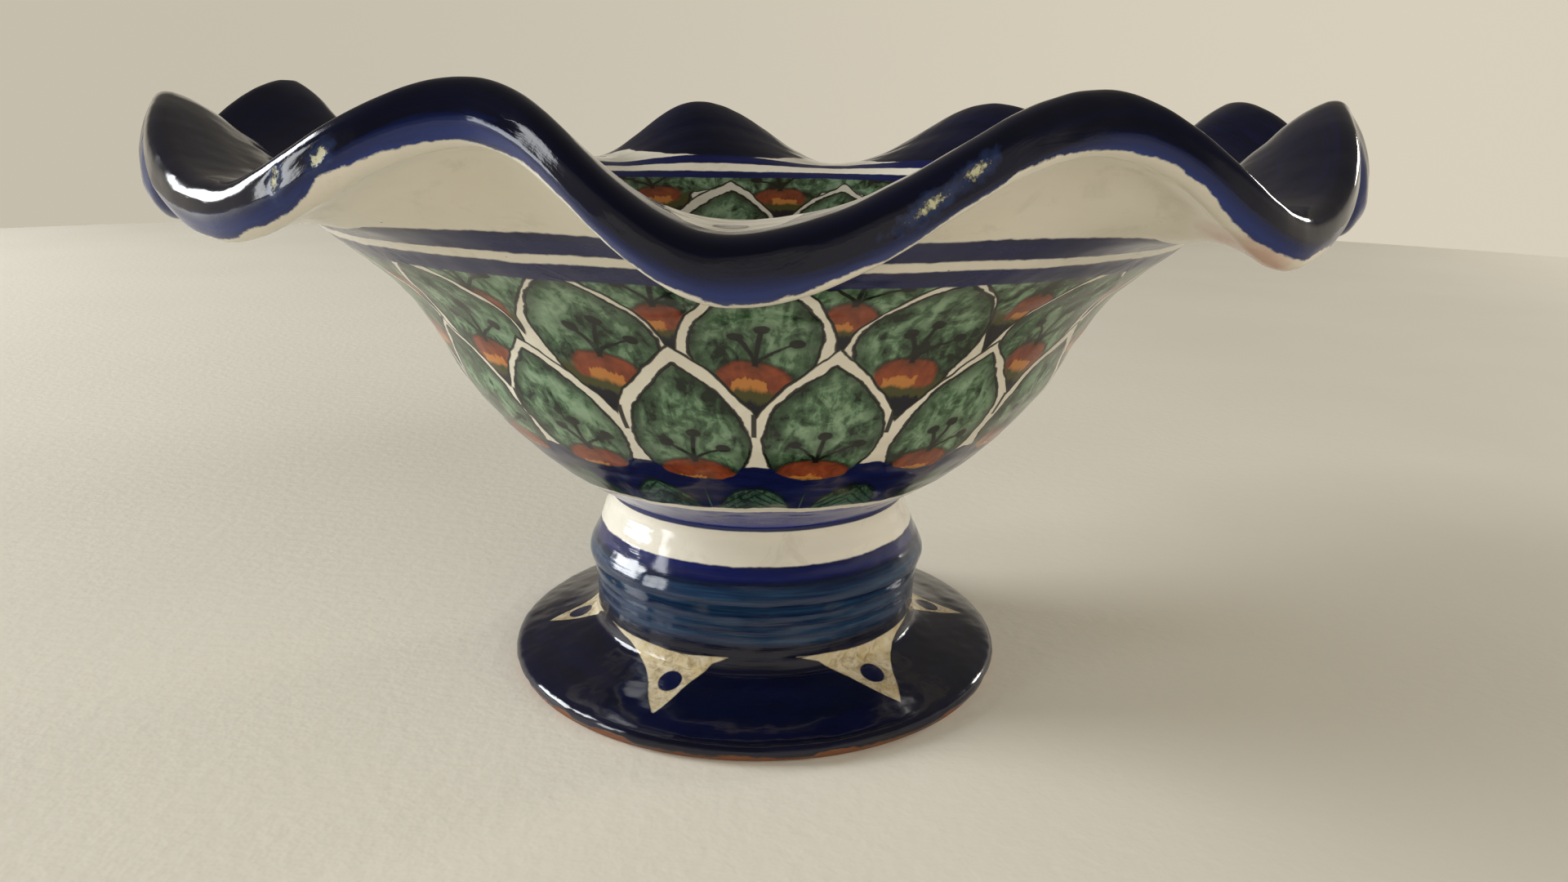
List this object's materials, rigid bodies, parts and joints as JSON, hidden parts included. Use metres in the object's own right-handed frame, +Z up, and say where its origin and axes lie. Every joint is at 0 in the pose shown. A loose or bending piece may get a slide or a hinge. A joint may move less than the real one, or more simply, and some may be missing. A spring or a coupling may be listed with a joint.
{
  "type": "footed ruffled bowl",
  "caption": "Footed pottery fruit bowl with a hand-pinched ruffled rim, a thick rolled lip and a hollow flared foot, tin glazed and painted.",
  "frame": {"origin": "centre of the foot ring, on the surface that the bowl stands on", "axes": "+Z up along the turning axis, -Y towards the side that the picture shows, +X to that side's right"},
  "size_m": [0.3407, 0.3425, 0.1821],
  "materials": {
    "clay": "matte",
    "slip": "matte",
    "tin_glaze": "gloss",
    "cobalt_glaze": "gloss"
  },
  "bodies": {
    "root": {"bowl": "clay", "pedestal": "clay", "slip_joint": "slip", "bowl_glaze": "tin_glaze", "pedestal_glaze": "cobalt_glaze"}
  },
  "joints": []
}
